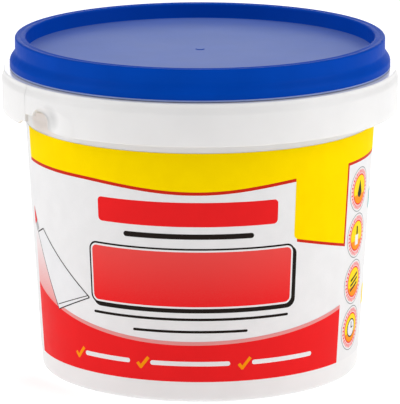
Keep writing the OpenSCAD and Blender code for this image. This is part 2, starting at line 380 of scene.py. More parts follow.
class Maker:
    """Adds nodes to a material and links them."""

    def __init__(self, name):
        self.material = bpy.data.materials.get(name) or bpy.data.materials.new(name)
        self.material.use_nodes = True
        self.tree = self.material.node_tree
        self.tree.nodes.clear()
        self.shader = self.add("ShaderNodeBsdfPrincipled")
        self.link(self.shader.outputs["BSDF"], self.add("ShaderNodeOutputMaterial").inputs["Surface"])
        self.place = self.add("ShaderNodeTexCoord").outputs["Object"]

    def add(self, kind, **values):
        node = self.tree.nodes.new(kind)
        for key, value in values.items():
            setattr(node, key, value)
        return node

    def link(self, source, target):
        self.tree.links.new(source, target)

    def noise(self, size, detail=2.0):
        """Noise whose bumps are about size millimetres across."""
        node = self.add("ShaderNodeTexNoise")
        node.inputs["Scale"].default_value = 1 / (size * MM)
        node.inputs["Detail"].default_value = detail
        self.link(self.place, node.inputs["Vector"])
        return node.outputs["Fac"]

    def ranged(self, source, low, high, first=0.35, last=0.65):
        node = self.add("ShaderNodeMapRange")
        for key, value in (("From Min", first), ("From Max", last), ("To Min", low), ("To Max", high)):
            node.inputs[key].default_value = value
        self.link(source, node.inputs["Value"])
        return node.outputs["Result"]

    def mixed(self, share, a, b):
        node = self.add("ShaderNodeMix", data_type="RGBA")
        self.link(share, node.inputs[0])
        for source, target in ((a, node.inputs[6]), (b, node.inputs[7])):
            if isinstance(source, bpy.types.NodeSocket):
                self.link(source, target)
            else:
                target.default_value = (*source, 1.0)
        return node.outputs[2]

    def bumped(self, source, depth, under=None):
        """A bump whose height is depth millimetres."""
        node = self.add("ShaderNodeBump")
        node.inputs["Strength"].default_value = 1.0
        node.inputs["Distance"].default_value = depth * MM
        self.link(source, node.inputs["Height"])
        if under:
            self.link(under, node.inputs["Normal"])
        return node.outputs["Normal"]

    def height(self):
        node = self.add("ShaderNodeSeparateXYZ")
        self.link(self.place, node.inputs[0])
        return node.outputs["Z"]

    def vector(self, operation, source, other=None):
        """One step of vector arithmetic, with a constant as its second value."""
        node = self.add("ShaderNodeVectorMath", operation=operation)
        self.link(source, node.inputs[0])
        if other is not None:
            node.inputs[1].default_value = other
        return node.outputs["Value" if operation in ("LENGTH", "DISTANCE") else "Vector"]

    def product(self, a, b):
        node = self.add("ShaderNodeMath", operation="MULTIPLY")
        self.link(a, node.inputs[0])
        self.link(b, node.inputs[1])
        return node.outputs["Value"]

    def recess(self, centre, near, far, inner, outer):
        """Share of how deep a place lies in a recess: near its centre, and well inside the outside's radius."""
        from_axis = self.vector("LENGTH", self.vector("MULTIPLY", self.place, (1.0, 1.0, 0.0)))
        close = self.ranged(self.vector("DISTANCE", self.place, centre), 1.0, 0.0, near * MM, far * MM)
        return self.product(close, self.ranged(from_axis, 1.0, 0.0, inner * MM, outer * MM))

    def set(self, **values):
        for key, value in values.items():
            self.shader.inputs[key.replace("_", " ")].default_value = value

    def feed(self, **sources):
        for key, source in sources.items():
            self.link(source, self.shader.inputs[key.replace("_", " ")])

    def mottled(self, colour, size, detail, low, high):
        """A base colour that wanders between two shades."""
        share = self.ranged(self.noise(size, detail), 0.0, 1.0)
        self.feed(Base_Color=self.mixed(share, tinted(colour, low), tinted(colour, high)))

    def satin(self, size, detail, low, high):
        """A roughness that wanders between two values."""
        self.feed(Roughness=self.ranged(self.noise(size, detail), low, high))


def tinted(colour, factor):
    return tuple(min(1.0, c * factor) for c in colour)


def lid_finish(name, colour, mottle, satin, grain, waves=None, **values):
    """A finish of the lid: a mottled colour, an uneven shine, and a fine grain that can lie on wider waves."""
    m = Maker(name)
    m.mottled(colour, *mottle)
    m.satin(*satin)
    normal = m.bumped(m.noise(grain[0]), grain[1])
    if waves:
        normal = m.bumped(m.noise(waves[0], 1.0), waves[1], under=normal)
    m.feed(Normal=normal)
    m.set(**values)
    return m.material


def white_moulding(name="tub_white", polish=0.0):
    """White polypropylene: faint cloudiness, a fine moulded grain and soft light that enters a little. Painted
    shade lies round the notch: darker in the scoop and in a wedge beside the arch, warm and darker deep inside."""
    c, painted_warm_shade = tuple(settings().colours.white_plastic), tuple(settings().colours.painted_recess_shade)
    foot, outer = tub_sizes("collar_foot", "collar_radius")
    m = Maker(name)
    cloud = m.ranged(m.noise(14, 3.0), 0.0, 1.0)
    # Painted shade: darker in the scoop and in a wedge beside the arch, warm and darker deep inside the notch
    scoop = m.recess(at(ARCH_AZ - 5.5, outer - 4, foot + 4.5), 2, 9, outer - 2.5, outer - 0.3)
    deep = m.recess(at(ARCH_AZ - 14, outer - 6, foot + 2.5), 7, 10.5, outer - 3.6, outer - 1.8)
    painted_wedge_shade = m.recess(at(ARCH_AZ + 0.6, outer, foot + 4.6), 0.8, 4.2, outer + 1, outer + 2)
    white = m.mixed(painted_wedge_shade, m.mixed(cloud, tinted(c, 0.975), tinted(c, 1.01)), tinted(c, 0.68))
    white = m.mixed(scoop, white, tinted(c, 0.52))
    m.feed(Base_Color=m.mixed(deep, white, painted_warm_shade))
    m.satin(1.6, 4.0, 0.36, 0.46)
    grain = m.bumped(m.noise(0.35, 2.0), 0.006)
    m.feed(Normal=m.bumped(m.noise(9, 1.0), 0.04, under=grain))
    m.set(Subsurface_Weight=0.12, Subsurface_Scale=0.002, Subsurface_Radius=(1.0, 0.95, 0.85))
    m.set(Specular_IOR_Level=0.4, Coat_Weight=polish, Coat_Roughness=0.12, Coat_IOR=1.9)
    return m.material


def with_polished_shelf(piece, white, polished):
    """Coats a piece white, with a polish on the shelf's top, so that it mirrors the lid's side at a low angle."""
    shelf = mm(settings().tub.shelf_height)
    coat(piece, white, white_moulding(polished, 1.0))
    for face in piece.data.polygons:
        face.material_index = int(abs(face.center.z / MM - shelf) < 0.05 and face.normal.z > 0.9)
    return piece


def lid_finishes():
    """Satin blue polypropylene, the same moulded against a matt tool, as the sunk panel is, so that it shines pale at a
    low angle, and the thin lower edge, whose paler colour is a painted highlight along the foot."""
    blue, satin = settings().colours.blue_plastic, (2.2, 4.0, 0.39, 0.46)
    # The lower edge's paler blue is a painted highlight
    pale = [0.5 * v + 0.5 * w for v, w in zip(blue, (0.52, 0.60, 0.78))]
    sheen = {"Sheen_Weight": 0.27, "Sheen_Roughness": 0.5, "Sheen_Tint": (0.84, 0.98, 1.0, 1.0)}
    smooth = (11, 3.0, 0.97, 1.03), satin, (0.3, 0.005), (12, 0.008)
    matt = (9, 3.0, 0.97, 1.03), (24, 3.0, 0.55, 0.59), (0.25, 0.008)
    thin = (5, 2.0, 0.95, 1.04), satin, (0.3, 0.005)
    return (
        lid_finish("lid_blue", blue, *smooth, Specular_IOR_Level=0.02),
        lid_finish("lid_panel", blue, *matt, Specular_IOR_Level=0.45, **sheen),
        lid_finish("lid_edge", pale, *thin, Specular_IOR_Level=0.3),
    )


def lacquered(m, gloss, shine):
    """Gives an ink the film's own gloss."""
    m.satin(3.0, 3.0, gloss - 0.04, gloss + 0.05)
    m.feed(Normal=m.bumped(m.noise(16, 1.0), 0.03))
    m.set(Specular_IOR_Level=shine)
    return m.material


def ink(name, colour, gloss=0.42, shine=0.03):
    """Ink on the film: a very fine print grain and a slightly uneven lay."""
    m = Maker(name)
    lay = m.ranged(m.noise(6, 2.0), 0.0, 0.6)
    even = m.mixed(lay, tinted(colour, 0.96), tinted(colour, 1.02))
    grain = m.ranged(m.noise(0.22, 1.0), 0.0, 0.5, 0.4, 0.75)
    m.feed(Base_Color=m.mixed(grain, even, tinted(colour, 0.93)))
    return lacquered(m, gloss, shine)


FIXED_INKS = {
    "grey": (0.32, 0.32, 0.33), "ferrule": (0.47, 0.47, 0.48), "blue": (0.05, 0.16, 0.5), "teal": (0.30, 0.52, 0.52)
}


def inks(*names):
    """Inks by name, in the sidebar's colours or fixed ones. White ink is as white as the film."""
    c = settings().colours
    colours = (FIXED_INKS.get(name) or tuple(getattr(c, "paper" if name == "white" else name)) for name in names)
    return [ink(f"ink_{name}", colour) for name, colour in zip(names, colours)]


def faded_ink(name, low_colour, high_colour, low_z, high_z):
    """Ink that fades from one colour to another with height."""
    m = Maker(name)
    share = m.ranged(m.height(), 0.0, 1.0, low_z * MM, high_z * MM)
    grain = m.ranged(m.noise(0.25, 1.0), 0.0, 0.3, 0.4, 0.75)
    base = m.mixed(share, low_colour, high_colour)
    m.feed(Base_Color=m.mixed(grain, base, tinted(high_colour, 0.94)))
    return lacquered(m, 0.42, 0.03)


def paste_finish():
    """Smooth mineral paste: matt, slightly mottled, with a fine grit and a few pinholes."""
    m = Maker("paste_white")
    m.mottled(settings().colours.paste, 7, 4.0, 0.95, 1.03)
    m.satin(1.5, 3.0, 0.62, 0.82)
    pits = m.bumped(m.ranged(m.noise(1.1, 3.0), 0.0, 1.0, 0.3, 0.42), 0.15)
    m.feed(Normal=m.bumped(m.noise(0.4, 3.0), 0.05, under=pits))
    m.set(Subsurface_Weight=0.1, Subsurface_Scale=0.002, Specular_IOR_Level=0.35)
    return m.material


# Tub


def cup_outline():
    """Wall, floor, foot and rim, from the axis under the floor round to the axis inside."""
    wall, rim, shelf = tub_sizes("wall", "rim_height", "shelf_height")
    shoulder, shoulder_z = tub_sizes("shoulder_radius", "shoulder_height")
    neck, flare_z, bead_z = neck_top(), shoulder_z + FLARE_H, rim - BEAD_DROP
    hollow, floor, floor_round, foot_round = 1.2, 2.5, 2.5, 1.5
    bead, bead_half = neck + 0.12, 0.45
    return (
        [(0, hollow), (11.6, hollow), (11.8, 1.05), (12.4, 1.05), (12.6, hollow), (43.6, hollow)]
        + arc(43.65, 0.8, 0.4, 90, 20, 3)
        + arc(44.85, 0.25, 0.25, 200, 270, 3)
        + arc(wall_r(foot_round) - foot_round, foot_round, foot_round, -90, 0, 8)
        + swell(shoulder, shoulder_z, neck, flare_z, 12)
        + [(neck, shelf - SHELF_T), (neck + LEDGE, shelf - SHELF_T), (neck + LEDGE, shelf), (neck, shelf)]
        + swell(neck, bead_z - bead_half, bead, bead_z, 3)
        + swell(bead, bead_z, neck, bead_z + bead_half, 3)[1:]
        + arc(neck - EDGE_R, rim - EDGE_R, EDGE_R, 0, 90, 5)
        + arc(neck - wall + EDGE_R, rim - EDGE_R, EDGE_R, 90, 180, 5)
        + swell(neck - wall, flare_z, shoulder - wall, shoulder_z, 12)
        + arc(wall_r(floor) - wall - floor_round, floor + floor_round, floor_round, 0, -90, 6)
        + [(0, floor)]
    )


def collar_outline(r_in):
    """Shelf and skirt of the collar, with the shelf starting at r_in."""
    shelf, foot, outer = tub_sizes("shelf_height", "collar_foot", "collar_radius")
    lip, low, inner_round = outer - 0.65, outer - TAPER, 0.15
    return (
        [(r_in, shelf - SHELF_T), (r_in, shelf)]
        + arc(lip - EDGE_R, shelf - EDGE_R, EDGE_R, 90, 0, 5)
        + swell(lip, shelf - 0.7, outer, shelf - 3.4, 12)
        + arc(low - EDGE_R, foot + EDGE_R, EDGE_R, 0, -90, 5)
        + arc(low - SKIRT_T + inner_round, foot + inner_round, inner_round, 270, 180, 3)
        + swell(outer - SKIRT_T, shelf - SWELL_DROP, lip - SKIRT_T, shelf - 1.3, 8)
        + [(lip - SKIRT_T, shelf - SHELF_T)]
    )


def notch_outline():
    """Arch beside the tab, and the clear space under the strip next to it, from where the arch meets that strip."""
    foot = mm(settings().tub.collar_foot)
    far, strip_end = ARCH_HALF + ARCH_SCOOP, -ARCH_HALF - STRIP_W
    meet = 180 - degrees(asin((STRIP_CLEAR - ARCH_SPRING) / ARCH_CROWN))
    crown = []
    for angle in (*range(0, 163, 9), meet):
        a, reach = radians(angle), far if angle < 90 else ARCH_HALF
        crown.append((reach * cos(a), foot + ARCH_SPRING + ARCH_CROWN * sin(a)))
    return [(far, foot - 1)] + crown + [(strip_end, foot + STRIP_CLEAR), (strip_end, foot - 1)]


def collar_r(z):
    """Radius of the collar's outside at a height below its set-in top edge."""
    foot, shelf, outer = tub_sizes("collar_foot", "shelf_height", "collar_radius")
    return outer - TAPER * (1 - (z - foot) / (shelf - SWELL_DROP - foot))


def neck_r(z):
    """Radius of the neck's outside, above the shoulder."""
    shoulder, shoulder_z = tub_sizes("shoulder_radius", "shoulder_height")
    rise = min(max((z - shoulder_z) / FLARE_H, 0.0), 1.0)
    return shoulder + STEP_OUT * (1 - cos(pi * rise)) / 2


def notch_return():
    """Hooded scoop beside the tab: the collar's face rolls in under the arch and back to the neck, so that it leads a
    finger in behind the tab's free end."""
    foot, left, right = mm(settings().tub.collar_foot), -7.2, ARCH_HALF + ARCH_SCOOP + 0.3
    hood, rise, bend, rolled, thick = 3.15, 4.75, 35.0, 0.7, 0.8
    steep, steep_from = 3.0, -5.6
    start_clean()
    bpy.ops.mesh.primitive_grid_add(x_subdivisions=26, y_subdivisions=16, size=1.0, location=(0, 0, 0))
    scoop = named("notch_return")
    along, out = directions(ARCH_AZ)
    for v in scoop.data.vertices:
        x, down = left + (right - left) * (v.co.x + 0.5), 0.5 - v.co.y
        top = foot + hood + rise * sqrt(max(0.0, 1 - (x / (right if x > 0 else ARCH_HALF)) ** 2))
        z = top + (foot - top) * down
        depth = bend - sqrt(bend**2 - (right - x) ** 2) + steep * max(0.0, steep_from - x)
        inward = depth * sin(radians(90 * min(1.0, down / rolled)))
        r = max(collar_r(z) - HAIR - inward, neck_r(z) - 0.3)
        v.co = (out * sqrt(r**2 - x**2) + along * x + Vector((0, 0, z))) * MM
    bpy.ops.object.mode_set(mode="EDIT")
    made_solid()
    outward = scoop.data.polygons[0].normal.dot(out) > 0
    return applied(scoop, "SOLIDIFY", thickness=thick * MM, offset=-1 if outward else 1)


def collar_ribs():
    """Ribs between the neck and the collar: one is drawn, and the rest are turned copies of it."""
    shelf, outer = tub_sizes("shelf_height", "collar_radius")
    inner, face, under, thick = 54.3, outer - 0.75, outer - 1.4, 0.9
    low, high = shelf - 6.7, shelf - 0.8
    points = [(inner, low), (face, low), (face, shelf - SWELL_DROP), (under, shelf - 1.3), (under, high), (inner, high)]
    first, last = RETURN_AZ + 3.3, 360 + SEAM_BACK_AZ - 2.9
    along, ribs, count = directions(first)[0], [], settings().tub.ribs
    rib = slab("collar_rib", [at(first, r, z) - along * thick / 2 * MM for r, z in points], along * thick * MM)
    applied(rib, "BEVEL", width=0.15 * MM, segments=2, limit_method="ANGLE", angle_limit=radians(60))
    for i in range(count):
        copy = bpy.data.objects.new("collar_rib", rib.data.copy())
        bpy.context.scene.collection.objects.link(copy)
        pick(copy)
        copy.rotation_euler = (0, 0, radians((last - first) * i / (count - 1)))
        bpy.ops.object.transform_apply(location=False, rotation=True, scale=False)
        ribs.append(copy)
    pick(rib)
    bpy.ops.object.delete()
    return joined("collar_ribs", ribs)


def bridge(r0, r1, top, first, last, step):
    """A thin bridge just below a height, between two radii and two azimuths."""
    low, high = top - 1.05, top - 0.35
    return turned("bridge", [(r0, low), (r1, low), (r1, high), (r0, high)], True, first, last, step)


class FILLER_OT_tub(Operator):
    """Model the tub: wall, foot, neck, collar, ribs and the wall behind the notch"""

    bl_idname = "filler_tub.make_tub"
    bl_label = "Tub"

    def execute(self, context):
        white, neck, outer = white_moulding(), neck_top(), tub_sizes("collar_radius")[0]
        cup = turned("cup", cup_outline())
        pip = turned("gate_pip", [(0, 0.8), (1.2, 0.8), (1.4, 0.95), (1.4, 1.6), (0, 1.6)], step=15)
        hand_over(coat(smoothed(joined("cup", [cup, pip])), white), "tub", "white_pp", "tub")
        ends = SEAM_AZ + SLOT_DEG / 2, 360 + SEAM_BACK_AZ - SLOT_DEG / 2
        collar = turned("collar", collar_outline(neck + LEDGE - SINK), True, *ends)
        cut_away(collar, radial_slab("notch_cutter", ARCH_AZ, neck, outer + 1, notch_outline()))
        hand_over(with_polished_shelf(smoothed(collar), white, "shelf_white"), "tub", "white_pp")
        for piece in (notch_return(), collar_ribs()):
            hand_over(coat(smoothed(piece), white), "tub", "white_pp")
        return {"FINISHED"}


class FILLER_OT_tab(Operator):
    """Model the tear-off tab and the snap bridges that hold it"""

    bl_idname = "filler_tub.make_tab"
    bl_label = "Tear-off tab"

    def execute(self, context):
        shelf, foot, outer = tub_sizes("shelf_height", "collar_foot", "collar_radius")
        ledge, half_slot = neck_top() + LEDGE, SLOT_DEG / 2
        slot_r = ledge + SLOT
        tab = turned("tear_strip", collar_outline(slot_r), True, SEAM_BACK_AZ + half_slot, SEAM_AZ - half_slot)
        corner = [(1, foot - 1), (1, foot + 1.5), (-2.6, foot + 1.5), (-5.3, foot), (-5.3, foot - 1)]
        cut_away(tab, radial_slab("corner_cutter", SEAM_AZ, neck_top(), outer + 1, corner))
        tab = with_polished_shelf(smoothed(tab), white_moulding("tab_white"), "tab_shelf_white")
        hand_over(tab, "tear_tab", "white_pp", "tear_tab")
        bridges, half, along_ledge = [], 0.573, 5
        for i in range(along_ledge):
            mid = SEAM_BACK_AZ + (SEAM_AZ - SEAM_BACK_AZ) * (i + 1) / (along_ledge + 1)
            bridges.append(bridge(ledge, slot_r - HAIR, shelf, mid - half, mid + half, 0.5))
        front = SEAM_AZ - half_slot + HAIR, SEAM_AZ + half_slot
        back = SEAM_BACK_AZ - half_slot, SEAM_BACK_AZ + half_slot - HAIR
        for top in (shelf, shelf - 2.6):
            for seam in (front, back):
                bridges.append(bridge(outer - SKIRT_T, outer - 0.8 - HAIR, top, *seam, 0.2))
        bridges = joined("tear_bridges", bridges)
        hand_over(coat(smoothed(bridges), white_moulding("bridge_white")), "tub", "white_pp", "snap_bridges")
        return {"FINISHED"}


class FILLER_OT_lid(Operator):
    """Model the press-on lid"""

    bl_idname = "filler_tub.make_lid"
    bl_label = "Lid"

    def execute(self, context):
        lid = settings().lid
        shelf, tub_wall = tub_sizes("shelf_height", "wall")
        skirt, foot_r, crest = mm(lid.skirt_radius), mm(lid.foot_radius), mm(lid.crest_height)
        foot, band, edge = (shelf + rise for rise in (0.15, 2.1, 0.7))
        panel, wall = crest - mm(lid.panel_drop), 0.9
        skirt_in, plug = skirt - wall, neck_top() - tub_wall - 0.2
        plug_in, groove, under = plug - wall, crest - 1.1, panel - 1.1
        plug_z = under - 4.4
        outline = (
            [(0, panel), (30, panel)]
            + arc(plug_in - 0.3, panel + 0.3, 0.3, -90, 0, 4)
            + arc(plug_in + 0.6, crest - 0.6, 0.6, 180, 90, 7)
            + swell(plug_in + 0.9, crest - 0.01, (plug_in + skirt) / 2, crest - 0.15, 4)
            + swell((plug_in + skirt) / 2, crest - 0.15, skirt - 0.9, crest - 0.01, 4)[1:]
            + arc(skirt - 0.6, crest - 0.6, 0.6, 90, 0, 7)
            + swell(skirt, band + 3.3, foot_r, band, 12)
            + [(foot_r, edge)]
            + arc(foot_r - 0.15, foot + 0.15, 0.15, 0, -90, 4)
            + [(foot_r - wall, foot)]
            + swell(foot_r - wall, band, skirt_in, band + 3.3, 8)
            + [(skirt_in, groove), (plug, groove), (plug, plug_z + wall), (plug - wall / 2, plug_z)]
            + [(plug_in, plug_z), (plug_in, under), (0, under)]
        )
        shell = turned("lid_shell", outline)
        pip = [(0, 0.2), (1.2, 0.2), (1.4, 0.05), (1.4, -SINK), (0, -SINK)]
        shell = joined("lid_shell", [shell, turned("lid_pip", [(r, panel + z) for r, z in pip], step=15)])
        coat(smoothed(shell, 35), *lid_finishes())
        # The foot's lowest faces take the paler finish, a painted highlight
        for face in shell.data.polygons:
            sunk = abs(face.center.z / MM - panel) < 0.3 and face.normal.z > 0.9
            low = face.center.z / MM < edge and face.center.xy.length / MM > foot_r - 0.3
            face.material_index = 1 if sunk else 2 if low else 0
        hand_over(shell, "lid", "blue_pp", "lid")
        return {"FINISHED"}


class FILLER_OT_paste(Operator):
    """Model the paste, with the strokes that filling the tub leaves in its surface"""

    bl_idname = "filler_tub.make_paste"
    bl_label = "Paste"

    def execute(self, context):
        top, floor, rings, bend = PASTE_HIGH.z / MM, PASTE_LOW.z / MM, 64, 2.5
        edge, low = (wall_r(z) - tub_sizes("wall")[0] - 0.3 for z in (top, floor))
        outline = [(0, floor)] + arc(low - bend, floor + bend, bend, -90, 0, 5)
        outline += [(edge * (rings - i) / rings, top) for i in range(rings + 1)]
        paste = turned("paste", outline, step=2.5)
        for v in paste.data.vertices:
            r = v.co.xy.length / MM / edge
            if v.co.z / MM > top - 0.01:
                a = atan2(v.co.y, v.co.x)
                swirl = cos(2 * pi * 4.5 * r + a) * (1 - r) * (0.4 + 0.6 * r)
                chop = 0.35 * sin(5 * a + 11 * r) * sin(pi * r) ** 2
                fine = 0.16 * sin(23 * a - 31 * r) * sin(pi * r)
                v.co.z = (top - 0.62 + 0.3 * (swirl + chop + fine) + 0.32 * r**10) * MM
        hand_over(coat(smoothed(paste, 40), paste_finish()), "tub", "paste", "filler")
        return {"FINISHED"}


# Film and print


def film_r(z, layer=0):
    """Radius of the film's outside, or of the underside of a layer of ink on it."""
    return wall_r(z) + HAIR + mm(settings().film.thick) + layer * LAYER


def deg(length, z=40.0):
    """Degrees that a length takes up along the film."""
    return degrees(length / film_r(z))


def spread(first, last, step=1.5):
    """Azimuths from first to last, at most step apart."""
    count = max(1, ceil((last - first) / step - 1e-6))
    return [first + (last - first) * i / count for i in range(count + 1)]


def refined(columns):
    """The same shape in columns narrow enough to follow the film's curve."""
    fine = [columns[0]]
    for near, far in zip(columns, columns[1:]):
        parts = len(spread(near[0], far[0])) - 1
        fine += [tuple(a + (b - a) * i / parts for a, b in zip(near, far)) for i in range(1, parts + 1)]
    return fine


def printed(name, columns, layer, material):
    """A thin patch of ink: a grid laid on the film, each column from a low to a high point, then given its thickness.
    Columns are (azimuth, low, high)."""
    start_clean()
    columns = refined(columns)
    count = len(columns) - 1
    bpy.ops.mesh.primitive_grid_add(x_subdivisions=count, y_subdivisions=1, size=1.0, location=(0, 0, 0))
    patch = named(name)
    for v in patch.data.vertices:
        azimuth, low, high = columns[round((v.co.x + 0.5) * count)]
        z = high if v.co.y > 0 else low
        v.co = at(azimuth, film_r(z, layer), z)
    bpy.ops.object.mode_set(mode="EDIT")
    bpy.ops.mesh.select_all(action="SELECT")
    bpy.ops.mesh.remove_doubles(threshold=0.0005 * MM)
    bpy.ops.object.mode_set(mode="OBJECT")
    return coat(applied(patch, "SOLIDIFY", thickness=INK * MM, offset=1), material)


def layered(name, *patches):
    """One piece joined from patches of ink, each given as (columns, layer, material)."""
    return joined(name, [printed(name, *patch) for patch in patches])


def field(first, last, low, high):
    """Columns between two edges, each a number or a function of the azimuth."""
    edge = lambda e, az: e(az) if callable(e) else e
    return [(az, edge(low, az), edge(high, az)) for az in spread(first, last)]


def shifted(edge, rise):
    """An edge moved up, or down."""
    return lambda az: edge(az) + rise


def rounding(corner, along):
    """How far a rounded corner draws an edge in, at a share of the way along the corner."""
    return corner * (1 - sqrt(max(0.0, 1 - (1 - min(along, 1.0)) ** 2)))


def plate(first, last, low, high, corner, grow=0.0):
    """Columns of a plate with rounded corners, made larger all round by a length."""
    z_mid = (low + high) / 2
    corner = min(corner + grow, (high - low) / 2 + grow)
    first, last, low, high = first - deg(grow, z_mid), last + deg(grow, z_mid), low - grow, high + grow
    corner_deg = deg(corner, z_mid)
    turns = [corner_deg * (1 - cos(radians(a))) for a in (0, 15, 30, 45, 60, 75)]
    middle = spread(first + corner_deg, last - corner_deg)
    columns = []
    for az in [first + t for t in turns] + middle + [last - t for t in turns[::-1]]:
        inset = rounding(corner, min(az - first, last - az) / corner_deg)
        columns.append((az, low + inset, high - inset))
    return columns


def disc(azimuth, z, radius, low_share=-1.0, high_share=1.0):
    """Columns of a disc, or of the slice of it between two shares of its height."""
    columns = []
    for i in range(25):
        x = -radius * cos(pi * i / 24)
        h = sqrt(max(0.0, radius**2 - x**2))
        low, high = max(-h, low_share * radius), min(h, high_share * radius)
        if high >= low:
            columns.append((azimuth + deg(x, z), z + low, z + high))
    return columns


def flag(azimuth, z, *points):
    """Columns of a shape given as (distance, low, high) in millimetres from a place on the film."""
    return [(azimuth + deg(x, z), z + low, z + high) for x, low, high in points]


def bar(azimuth, z, angle, length, width, offset=0.0):
    """Columns of a straight bar of a length and a width, turned by an angle, with its near end offset from a place."""
    a = radians(angle)
    if cos(a) < 0:
        a, offset = a + pi, -offset - length
    c, s = cos(a), sin(a)
    ends, sides = (offset, offset + length), (-width / 2, width / 2)
    if abs(s) < 1e-6:
        return flag(azimuth, z, *((x, *sides) for x in ends))
    (x0, z0), (x1, z1), (x2, z2), (x3, z3) = sorted((c * u - s * w, s * u + c * w) for u in ends for w in sides)
    across_1 = z0 + (z2 - z0) * (x1 - x0) / max(x2 - x0, 1e-9)
    across_2 = z1 + (z3 - z1) * (x2 - x1) / max(x3 - x1, 1e-9)
    middle = (x1, *sorted((z1, across_1))), (x2, *sorted((z2, across_2)))
    return flag(azimuth, z, (x0, z0, z0), *middle, (x3, z3, z3))


def right_of(edge, columns):
    """The part of a shape that lies right of an azimuth."""
    kept = [c for c in columns if c[0] > edge]
    gone = [c for c in columns if c[0] <= edge]
    if gone:
        share = (edge - gone[-1][0]) / (kept[0][0] - gone[-1][0])
        kept.insert(0, tuple(a + (b - a) * share for a, b in zip(gone[-1], kept[0])))
    return kept


def yellow_edge(az):
    """Lower edge of the yellow band: level, with one soft dip over the title, and a little lower on the left of it."""
    t = (az - 2) / 44
    level, dip = (67.4 if t > 0 else 67.0), 64.7
    return level - ((level - dip) * (1 + cos(pi * t)) / 2 if abs(t) < 1 else 0.0)


def drop_edge(az):
    """Lower edge of the yellow drop at the right of the title."""
    return 48.7 - (az - 36.6) * 5.1 / 24.2


def red_edge(az):
    """Upper edge of the red field: a shallow bowl, steeper on its left."""
    x = max(az, -82) + 1.5
    return 17.7 + x * x * (0.00146 if x > 0 else 0.0021)


# Azimuths of the front print's two edges, of the drop's left edge, of the far side of the bare column at the left and
# of the print's end at the back, and the height of the band's lower edge there
FRONT_LEFT, FRONT_RIGHT, DROP_LEFT, BARE_LEFT, BACK_END = -72.7, 60.9, 36.3, -98.0, 178.2
BACK_EDGE = 68.2


def bands():
    """The yellow band with its drop, the red lines under them, and the red field with its pale edge."""
    c = settings().colours
    high, low = mm(settings().film.high), mm(settings().film.low)
    red, pink, brick = inks("red", "pink", "brick")
    yellow = ink("ink_band", tuple(c.yellow), 0.5, 0.004)
    fade = faded_ink("ink_pink_fade", (0.80, 0.14, 0.13), tuple(c.paper), 20, 45)
    corner = 1.2
    corner_deg = deg(corner, 49)
    drop = []
    for az in [DROP_LEFT + corner_deg * t for t in (0, 0.1, 0.3, 0.6)] + spread(DROP_LEFT + corner_deg, FRONT_RIGHT):
        drop.append((az, drop_edge(az) + rounding(corner, (az - DROP_LEFT) / corner_deg), high))
    line_low, line_high = BACK_EDGE - 0.9, BACK_EDGE + 0.2
    lines = (
        (-BACK_END, BARE_LEFT, line_low, line_high),
        (FRONT_LEFT, DROP_LEFT, shifted(yellow_edge, -1.0), shifted(yellow_edge, 0.2)),
        (DROP_LEFT + 1.2, FRONT_RIGHT + 1, shifted(drop_edge, -0.9), shifted(drop_edge, 0.3)),
        (FRONT_RIGHT - 0.3, FRONT_RIGHT + 1, drop_edge(FRONT_RIGHT) - 0.9, line_high),
        (FRONT_RIGHT + 0.8, BACK_END, line_low, line_high),
    )
    glow_edge = lambda az: 44.0 - max(0.0, az + 69) * 1.44
    return [
        layered(
            "print_yellow",
            (field(-BACK_END, BARE_LEFT, BACK_EDGE, high), 1, yellow),
            (field(FRONT_LEFT, DROP_LEFT, yellow_edge, high), 1, yellow),
            (drop, 1, yellow),
            (field(FRONT_RIGHT, BACK_END, BACK_EDGE, high), 1, yellow),
        ),
        layered("print_red_lines", *((field(*edges), 0.4, brick) for edges in lines)),
        printed("print_red_field", field(FRONT_LEFT, FRONT_RIGHT, low, red_edge), 2, red),
        layered(
            "print_pink",
            (field(-57, FRONT_RIGHT, red_edge, shifted(red_edge, 1.15)), 2, pink),
            (field(FRONT_LEFT, -55, red_edge, glow_edge), 1, fade),
        ),
    ]


def title():
    """A plain red pill, a plain title plate with a keyline and an offset shadow, and plain rules."""
    red, dark, white = inks("red", "dark", "white")
    fade = faded_ink("ink_title", tuple(settings().colours.red), (0.81, 0.075, 0.068), 30, 47)
    first, last, low, high = box = (-35.2, 35.4, 29.6, 46.4)
    corner = 1.6
    return [
        printed("print_pill", plate(-32, 29.8, 54.1, 61.5, 1.3), 1, red),
        layered(
            "print_title",
            (plate(first + 0.9, last + 0.9, low - 0.8, high - 0.8, corner, 1.1), 1, dark),
            (plate(*box, corner, 1.1), 1.6, dark),
            (plate(*box, corner, 0.55), 2.4, white),
            (plate(*box, corner), 3.2, fade),
        ),
        layered(
            "print_rules",
            (plate(-22.5, 21.5, 50.3, 51.9, 0.8), 1, dark),
            (plate(-35.5, 35, 25.3, 26.1, 0.4), 1, dark),
            (plate(-20, 20, 21.5, 22.3, 0.4), 1, dark),
        ),
    ]


def ticks():
    """Three ticks on the red field, each followed by a plain white rule."""
    orange, white = inks("orange", "white")
    z, patches = 10.4, []
    for az, first, last in ((-44, -40.5, -21.5), (-17.5, -14, 14), (18.3, 21.8, 46)):
        patches.append((bar(az, z, 128, 2.0, 0.95, -0.3), 3, orange))
        patches.append((bar(az, z, 52, 4.3, 0.95, -0.3), 3.5, orange))
        patches.append((plate(first, last, 11.3, 12.7, 0.7), 3, white))
    return [layered("print_ticks", *patches)]


def blade(grow):
    """Columns of the drawn blade, made larger all round. It widens from its heel to a shoulder, and ends in a tip."""
    heel, shoulder, corner, tip, z = -69, -63.5, -54.5, -38, 44.2
    columns = []
    ends = [heel - grow, shoulder, corner, tip + grow * 1.6]
    for first, last in zip(ends, ends[1:]):
        for az in spread(first, last, 1.0):
            high = z + grow * 1.22 + (min(az, shoulder) - heel) * 0.36 - max(0.0, az - shoulder) * 0.645
            low = z - grow * 1.85 - (az - heel) * 1.44 if az < corner else 23.32 - grow + (az - corner) * 0.37
            columns.append((az, low, max(high, low + 0.01)))
    return columns


